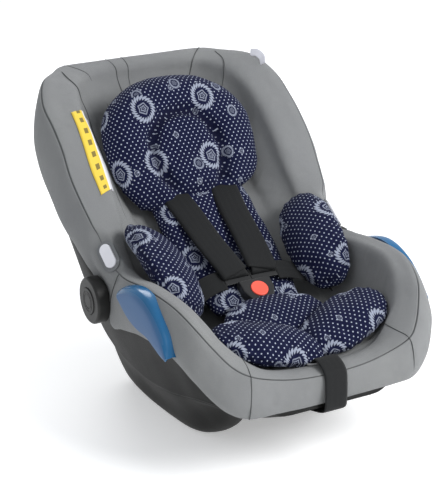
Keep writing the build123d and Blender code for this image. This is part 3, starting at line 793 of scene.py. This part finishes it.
HEAD_C = np.array((0.0, 160.0, 388.0))
HEAD_LEAN = math.radians(57)
HEAD_OUT = np.array((0.0, -math.sin(HEAD_LEAN), math.cos(HEAD_LEAN)))
HEAD_UP = np.array((0.0, math.cos(HEAD_LEAN), math.sin(HEAD_LEAN)))
X = np.array((1.0, 0.0, 0.0))


def in_head(p):
    rel = np.asarray(p) - HEAD_C
    return rel[0], rel @ HEAD_UP, rel @ HEAD_OUT


def head_outline(turn):
    """Distance from the middle to the cushion's outer seam: an arch with a squarer foot."""
    c, s = math.cos(turn), math.sin(turn)
    power = 2.1 if s > 0 else 3.2
    tall = 104 if s > 0 else 114
    return (abs(c / 136) ** power + abs(s / tall) ** power) ** (-1 / power)


def inner_ring(x, t):
    """0 at the middle of the inner head pad and 1 on the seam round it."""
    return math.sqrt((x / 60) ** 2 + ((t + 28) / (64 if t > -28 else 90)) ** 2)


def head_shape():
    """Cushion in rings from its crown to its back; its right foot hangs lower, and both feet lean forward."""
    points = []
    around = 96
    profile = [(0.2, 3), (0.4, 4), (0.6, 4), (0.78, 0), (0.9, -8), (0.97, -17), (1.0, -28), (0.97, -42),
               (0.9, -58), (0.75, -72), (0.5, -80), (0.25, -84)]
    for share, depth in profile:
        for a in range(around):
            turn = 2 * math.pi * a / around
            reach = head_outline(turn) * share
            x, t = reach * math.cos(turn), reach * math.sin(turn)
            d = depth
            if depth < -30:
                d = depth * (0.45 + 0.55 * (t + 108) / 212)
            ring = inner_ring(x, t)
            if d > -12:
                d -= 12 * math.exp(-((ring - 1) / 0.14) ** 2)
            t -= 20 * min(1.0, max(0.0, -x / 100)) * min(1.0, max(0.0, (-30 - t) / 60))
            if depth > -50:
                d += 11 * float(np.clip((-48 - t) / 42, 0, 1)) ** 1.3
            points.append(HEAD_C + X * x + HEAD_UP * t + HEAD_OUT * d)
    rows = len(profile)
    faces = grid_faces(rows, around, closed=True)
    points += [HEAD_C + HEAD_OUT * 2, HEAD_C - HEAD_OUT * 60]
    front, back = len(points) - 2, len(points) - 1
    faces += [(front, (a + 1) % around, a) for a in range(around)]
    last = (rows - 1) * around
    faces += [(last + a, last + (a + 1) % around, back) for a in range(around)]
    return np.array(points) * MM, faces


def head_pins(p):
    x, t, d = in_head(p)
    edge = math.hypot(x, t) / head_outline(math.atan2(t, x))
    if d > -20 and abs(inner_ring(x, t) - 1) < 0.05 and t > -88:
        return 1.0
    if edge > 0.955 and abs(d + 28) < 4:
        return 1.0
    return 0.6 if d < -45 else 0.0


# Darkening marks on the head cushion: the ring is painted shade in the groove round the inner pad, and the
# rim darkens the outer seam.
def head_seam_and_groove_shade_marks(p):
    x, t, d = in_head(p)
    edge = math.hypot(x, t) / head_outline(math.atan2(t, x))
    ring = math.exp(-((inner_ring(x, t) - 1) / 0.075) ** 2) if d > -34 and t > -92 else 0.0
    rim = math.exp(-((d + 28) / 1.6) ** 2) if edge > 0.93 else 0.0
    return min(1.0, 0.9 * ring + 0.6 * rim)


def head_relief(p):
    x, t, d = in_head(p)
    ring = math.exp(-((inner_ring(x, t) - 1) / 0.12) ** 2) if d > -34 and t > -92 else 0.0
    near = abs(inner_ring(x, t) - 1) < 0.5 and d > -30
    gathers = math.sin(math.atan2(t + 28, x) * 31) * math.exp(-((inner_ring(x, t) - 1) / 0.22) ** 2)
    pucker = 0.9 * gathers if near else 0.0
    return pucker - 9.0 * ring + noise.noise(Vector(np.asarray(p) / 34.0)) * 1.6


def build_head():
    obj = stuffed("head_cushion_pad", *head_shape(), cap=11.0, voxel=5.0, pressure=5.0, pins=head_pins)
    finish_cushion(obj, X, HEAD_UP, HEAD_C, 6, head_seam_and_groove_shade_marks, head_relief)
    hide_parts("head_cushion", "head_pad")
    return obj


def lobe(name, node, centre, axes, half, square, cap, shape=None, pleat=0.0):
    """One stuffed lobe: seam round its edge, crowned both sides."""
    centre = np.asarray(centre, dtype=float)
    axes = np.array([unit(a) for a in axes])

    def seam_at(p):
        return abs((np.asarray(p) - centre) @ axes[2])

    def reach(p):
        rel = np.asarray(p) - centre
        return math.hypot((rel @ axes[0]) / half[0], (rel @ axes[1]) / half[1])

    def pins(p):
        return 1.0 if seam_at(p) < 2.6 and reach(p) > 0.9 else 0.0

    def marks(p):
        return 0.8 * math.exp(-(seam_at(p) / 1.3) ** 2) if reach(p) > 0.85 else 0.0

    def relief(p):
        rel = np.asarray(p) - centre
        turn = math.atan2(rel @ axes[1], rel @ axes[0])
        edge = math.exp(-((reach(p) - 0.95) / 0.16) ** 2)
        seam = math.exp(-(seam_at(p) / 1.8) ** 2) if reach(p) > 0.85 else 0.0
        return (1.1 * math.sin(turn * 26 + 3 * math.sin(turn * 5)) * edge - 1.6 * seam
                + noise.noise(Vector(rel / 30.0 + 7)) * (1.6 + pleat))

    points, faces = blob(centre, axes, half, square, shape=shape)
    obj = stuffed(name, points, faces, cap, voxel=4.5, pressure=4.0, pins=pins, shrink=-0.02)
    finish_cushion(obj, axes[0], axes[1], centre, half[2] * 0.6, marks, relief)
    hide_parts(node)
    return obj


def body_shape():
    """Back pad that follows the bend of the liner from the head down to the buckle."""
    path = [(178, 352, 86), (140, 323, 88), (100, 298, 90), (60, 272, 92),
            (20, 246, 92), (-20, 222, 90), (-60, 204, 84), (-96, 190, 74)]      # y, z, half width
    way = spline(path, np.linspace(0, len(path) - 1, 46))
    run = np.gradient(way[:, :2], axis=0)
    run /= np.linalg.norm(run, axis=1)[:, None]
    points = []
    around = 44
    for (y, z, wide), (ry, rz) in zip(way, run):
        out = np.array((0.0, rz, -ry))
        if out[2] < 0:
            out = -out
        for a in range(around):
            turn = 2 * math.pi * a / around
            c, s = math.cos(turn), math.sin(turn)
            side = math.copysign(abs(c) ** 0.7, c)
            depth = math.copysign(abs(s) ** 0.8, s)
            points.append(np.array((wide * side, y, z)) + out * (depth * 13 - 17))
    faces = grid_faces(len(way), around, closed=True)
    faces += [tuple(range(around))[::-1], tuple((len(way) - 1) * around + c for c in range(around))]
    return np.array(points) * MM, faces


def build_body():
    obj = stuffed("body_pad_cover", *body_shape(), cap=3.0, voxel=5.0, pressure=2.0)
    slope = unit((0, 0.85, 0.53))
    finish_cushion(obj, X, slope, (0, 40, 258), 8, None,
                   lambda p: noise.noise(Vector(np.asarray(p) / 40.0)) * 2.0)
    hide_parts("body_pad")
    return obj


def torso_lobe(side):
    """Long flat lobe that lines the wall and rolls over the rim."""
    centre = (128 if side > 0 else -131, -36, 244)
    long = unit((side * 0.10, 0.86, 0.48))
    up = unit(np.cross(unit((-side * 0.62, -0.26, 0.74)), long))
    out = unit(np.cross(long, up))
    if out[2] < 0:
        up, out = -up, -out

    def bend(x, y, z):
        return x, y, z - 10 * (x / 92) ** 2

    label = "left" if side > 0 else "right"
    return lobe(f"torso_lobe_{label}", f"torso_bolster_{label}", centre, (long, up, out),
                (94, 48 if side > 0 else 57, 24), square=2.3, cap=7.0, shape=bend)


def leg_lobe(side):
    """Thigh cushion on the front of the seat."""
    centre = (74, -216, 181) if side > 0 else (-62, -224, 177)
    long = unit((1.0, 0.26, 0.27)) if side > 0 else unit((1.0, -0.24, -0.24))
    out = unit((-side * 0.22, -0.30, 0.93))
    up = unit(np.cross(out, long))
    label = "left" if side > 0 else "right"
    return lobe(f"leg_lobe_{label}", f"leg_bolster_{label}", centre, (long, up, out),
                (84 if side > 0 else 88, 46, 21), square=2.3, cap=7.0, pleat=0.8)


def build_seat():
    return lobe("seat_pad_cover", "seat_wedge", (0, -150, 166), ((1, 0, 0), (0, 0.9, 0.42), (0, -0.42, 0.9)),
                (88, 56, 24), square=2.6, cap=6.0)


pads = [build_head(), build_body(), build_seat()]
pads += [make(side) for side in (1, -1) for make in (torso_lobe, leg_lobe)]
for pad in pads:
    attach(pad, "seat")


# ---------- harness ----------
BUCKLE_C = np.array((0.0, -85.0, 198.0))
BUCKLE_OUT = np.array((0.0, -0.5, 0.866))
BUCKLE_UP = np.array((0.0, 0.866, 0.5))


def at_buckle(x, y, z):
    return BUCKLE_C + X * x + BUCKLE_UP * y + BUCKLE_OUT * z


def shoulder_route(side):
    """From the loop on the tongue up the pad, through the back and down to the yoke."""
    loop = [at_buckle(23, 31.5, -3), at_buckle(23, 31.5, 2.6), at_buckle(24, 35, 4.4), at_buckle(26, 44, 5.5)]
    run = [(34, 10, 252), (38, 60, 275.5), (42, 92, 292), (45, 116, 304), (46, 134, 310), (46, 146, 304)]
    back = [(46, 158, 288), (46, 170, 269), (44, 168, 250), (38, 142, 228), (31, 112, 206)]
    return [(side * x, y, z) for x, y, z in [*loop, *run, *back]]


def lap_route(side):
    """From the tongue's side over the thigh and down to the anchor."""
    start = at_buckle(46.3, 31, 0)
    run = [(68, -58, 210), (98, -60, 199), (126, -62, 186), (146, -62, 170), (160, -60, 157), (168, -60, 140)]
    return [(side * x, y, z) for x, y, z in [start] + run]


for side, label in ((1, "left"), (-1, "right")):
    web = strap(f"shoulder_web_{label}", shoulder_route(side), 39, WEBBING, count=110)
    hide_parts(f"shoulder_strap_{label}")
    sleeve_way = shoulder_route(side)[2:9]
    sleeve = strap(f"shoulder_sleeve_{label}", sleeve_way, 50, WEBBING, thick=0.0058, cup=1.0, count=60)
    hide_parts(f"shoulder_pad_{label}")
    lap = strap(f"lap_web_{label}", lap_route(side), 37, WEBBING, across=(0, 0.866, 0.5), count=50)
    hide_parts(f"lap_strap_{label}")
    for piece in (web, sleeve):
        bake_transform(piece)
    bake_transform(lap)

crotch = strap("crotch_web", [
    (0, -105, 178), (0, -111, 171), (0, -124, 162), (0, -130, 150), (0, -131, 100),
], 38, WEBBING)
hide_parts("crotch_strap")
adjuster = strap("adjuster_web", [
    (0, 96, 184), (0, 40, 150), (0, -30, 104), (0, -90, 90), (0, -150, 88), (0, -222, 94), (0, -247, 103),
    (0, -262, 106), (0, -268.5, 113), (0, -270, 130), (0, -271, 150), (0, -280, 165.5), (0, -296, 164),
    (0, -309, 156), (0, -314, 142), (0, -315, 104), (0, -307, 91), (0, -280, 82), (0, -262, 77),
], 38, WEBBING, count=170)
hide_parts("adjuster_strap")
for piece in (crotch, adjuster):
    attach(piece, "seat")
SLOT_EDGE = Look("slot_binding", lin(176, 176, 176), 0.7)
SLOT_EDGE.bump(weave(SLOT_EDGE, SLOT_EDGE.coords("UV"), 0.0008), 0.0002, 0.5)
slot_edge = [(0.0235 * math.copysign(abs(math.cos(a)) ** 0.35, math.cos(a)),
              -0.2705 + 0.0075 * math.sin(a), 0.1555 - 0.0006 * math.sin(a))
             for a in np.linspace(0, 2 * np.pi, 48, endpoint=False)]
binding = tube("slot_binding", slot_edge, 0.0016, SLOT_EDGE.mat, sides=8, closed=True)
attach(binding, "seat")


# ---------- carried-over CAD nodes ----------
FINISH = {
    "rubber_feet": RUBBER, "shell_screws": STEEL,
    "rear_belt_guide": BLUE, "buckle_back": BUCKLE_BLACK, "buckle_front": BUCKLE_BLACK, "buckle_button": RED,
    "buckle_spring": STEEL, "yoke": STEEL, "adjuster_body": STEEL, "adjuster_pin": STEEL,
    "adjuster_lever": BUCKLE_BLACK, "adjuster_spring": STEEL,
}
SIDED = {
    "hub_mount": HUB_BLACK, "hub_bolt": STEEL, "hub_disc": HUB_BLACK, "hub_button": HUB_BLACK,
    "hub_spring": STEEL, "adapter_surround": SURROUND, "adapter_button": WHITE, "adapter_spring": STEEL,
    "tongue": BUCKLE_BLACK, "lap_anchor": STEEL,
}
# Bevel widths in mm of the CAD nodes that show
BEVELS = {
    "buckle_front": 1.0, "buckle_button": 0.8, "tongue_left": 0.7, "tongue_right": 0.7,
    "adapter_surround_left": 1.6, "adapter_surround_right": 1.6, "adapter_button_left": 1.8,
    "adapter_button_right": 1.8, "rear_belt_guide": 1.5, "hub_disc_left": 1.0, "hub_disc_right": 1.0,
}
# Crescent belt guide in (y, z): its lower edge, the corner along its top, and where its wall meets the cover
GUIDE_EDGE = [(-60, 221), (-77, 210), (-97, 201.5), (-123, 197),
              (-155, 196.5), (-180, 190.5), (-200, 185.5), (-215.5, 185)]
GUIDE_TURN = [(-59, 226), (-88, 238.5), (-112, 243), (-140, 239.5),
              (-168, 229.5), (-189, 214), (-206, 200), (-218.5, 186.5)]
GUIDE_WALL = [(-55, 229), (-73, 240.5), (-108, 250.5), (-137, 250.5),
              (-165, 242), (-187, 230), (-207, 212), (-219.5, 188)]


def make_guide(side, label):
    """Hooked crescent: a face that stands off the side and a rolled wall along its top and front."""
    along, across = 56, 31
    edge, turn, wall = (resampled(line, along) for line in (GUIDE_EDGE, GUIDE_TURN, GUIDE_WALL))
    points = []
    for e, t, w in zip(edge, turn, wall):
        knots = np.array([
            (222.5, *e), (224, *(e * 0.6 + t * 0.4)), (223.8, *(e * 0.12 + t * 0.88)),
            (222.0, *(t * 0.75 + w * 0.25)), (218, *(t * 0.22 + w * 0.78 + (0, 0.6))),
            (211, *w), (204.5, *(w - (0, 0.5))),
        ])
        points += [(side * x, y, z) for x, y, z in spline(knots, np.linspace(0, 6, across))]
    faces = grid_faces(along, across, flip=side > 0)
    guide = new_object(f"guide_{label}", np.array(points) * MM, faces, BLUE)
    add_modifier(guide, "SOLIDIFY", thickness=0.0038, offset=-1.0)
    add_modifier(guide, "BEVEL", width=0.0013, segments=3, limit_method="ANGLE", angle_limit=math.radians(50))
    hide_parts(f"belt_guide_{label}")
    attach(guide, "seat")


make_guide(1, "left")
make_guide(-1, "right")
for stem, look in SIDED.items():
    for label in ("left", "right"):
        FINISH[f"{stem}_{label}"] = look
for node, look in FINISH.items():
    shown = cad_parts[node]
    shown.data.materials.clear()
    shown.data.materials.append(look)
for node, width in BEVELS.items():
    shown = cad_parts[node]
    add_modifier(shown, "WELD", merge_threshold=0.00002)
    add_modifier(shown, "BEVEL", width=width * MM, segments=3, limit_method="ANGLE",
                 angle_limit=math.radians(35), harden_normals=False)

# ---------- labels ----------
TAG = Look("tag_ribbon", lin(228, 228, 236), 0.6, Sheen_Weight=0.2, Sheen_Roughness=0.5)
TAG.bump(weave(TAG, TAG.coords("UV"), 0.0006), 0.0002, 0.5)
tag = strap("care_tag", [(196, 246, 454), (199, 254, 463), (195, 265, 469), (189, 276, 468)], 13, TAG.mat,
            thick=0.0006, across=(0.5, -0.2, 0.84), count=24)
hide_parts("wash_tag")
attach(tag, "seat")

LABEL = Look("side_ribbon", lin(232, 200, 52), 0.55)
band_u, band_v, _ = LABEL.split(LABEL.coords("UV"))
block = LABEL.times(LABEL.math("LESS_THAN", LABEL.math("ABSOLUTE", LABEL.minus(band_u, 0.2)), 0.06),
                   LABEL.math("LESS_THAN", LABEL.math("FRACT", LABEL.math("DIVIDE", band_v, 0.0125)), 0.45))
ground = LABEL.mix(LABEL.remap(band_u, 0.34, 0.37), lin(226, 194, 62), lin(222, 222, 226))
LABEL.color(LABEL.mix(LABEL.times(block, 0.8), ground, lin(66, 60, 30)))
LABEL.bump(weave(LABEL, LABEL.coords("UV"), 0.0006), 0.0002, 0.5)
# The label's two long edges as (station, row) marks on the cover
LABEL_EDGES = [(-17.6, 5.35), (-15.7, 5.25), (-14.0, 5.3)], [(-18.25, 7.4), (-16.4, 7.4), (-14.8, 7.15)]
LONG, WIDE = 41, 15
rims = [spline(marks, np.linspace(0, 2, LONG)) for marks in LABEL_EDGES]
points, uvs = [], []
for row, (rim, other) in enumerate(zip(*rims)):
    for step in range(WIDE):
        points.append(cover_point(*(rim + (other - rim) * step / (WIDE - 1))) * MM)
        uvs.append((step / (WIDE - 1), row * 0.0025))
ribbon = new_object("wing_label", points, grid_faces(LONG, WIDE), LABEL.mat, uvs)
add_modifier(ribbon, "SHRINKWRAP", target=cover, wrap_method="NEAREST_SURFACEPOINT",
             wrap_mode="ABOVE_SURFACE", offset=0.0009)
apply_modifiers(ribbon)
add_modifier(ribbon, "SOLIDIFY", thickness=0.0006, offset=0.0)
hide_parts("side_label")
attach(ribbon, "seat")

# ---------- floor, light and camera ----------
bpy.ops.mesh.primitive_plane_add(size=14, location=(0, 0, 0))
floor = bpy.context.object
floor.name = "floor"
PALE = Look("pale_floor", (0.88, 0.88, 0.88), 0.6, Emission_Color=(1, 1, 1, 1), Emission_Strength=0.36)
PALE.rough(PALE.remap(PALE.noise(PALE.coords("Object"), 3.0), 0.2, 0.8, 0.55, 0.65))
floor.data.materials.append(PALE.mat)

world = bpy.data.worlds.new("studio")
bpy.context.scene.world = world
world.use_nodes = True
world.node_tree.nodes["Background"].inputs[0].default_value = (0.93, 0.96, 1.0, 1)
world.node_tree.nodes["Background"].inputs[1].default_value = 0.64


def soft_light(name, place, aim, size, power):
    lamp = bpy.data.lights.new(name, "AREA")
    lamp.shape, lamp.size, lamp.energy = "DISK", size, power
    obj = bpy.data.objects.new(name, lamp)
    bpy.context.collection.objects.link(obj)
    obj.location = place
    obj.rotation_euler = (Vector(aim) - Vector(place)).to_track_quat("-Z", "Y").to_euler()


soft_light("key", (1.3, -2.0, 2.0), (0, 0, 0.25), 1.5, 68)
soft_light("fill", (-1.9, -1.2, 1.7), (0, 0, 0.25), 1.4, 3)
soft_light("side", (2.3, -0.7, 1.1), (0, 0, 0.25), 1.2, 17)
soft_light("rim", (0.4, 1.9, 1.9), (0, 0.1, 0.3), 1.4, 22)

BACK = Vector((-0.443, -0.8057, 0.3931)).normalized()
RIGHT = Vector((0, 0, 1)).cross(BACK).normalized()
UP = BACK.cross(RIGHT).normalized()
lens = bpy.data.cameras.new("view")
lens.lens = 112.7
lens.sensor_width = 36.0
lens.shift_x, lens.shift_y = -0.0248, 0.0814
lens.clip_start, lens.clip_end = 0.05, 60
camera = bpy.data.objects.new("view", lens)
bpy.context.collection.objects.link(camera)
facing = Matrix((RIGHT, UP, BACK)).transposed().to_4x4()
camera.matrix_world = Matrix.Translation(Vector((0, 0, 0.165)) + BACK * 2.5) @ facing
bpy.context.scene.camera = camera
bpy.context.scene.view_settings.view_transform = "Standard"
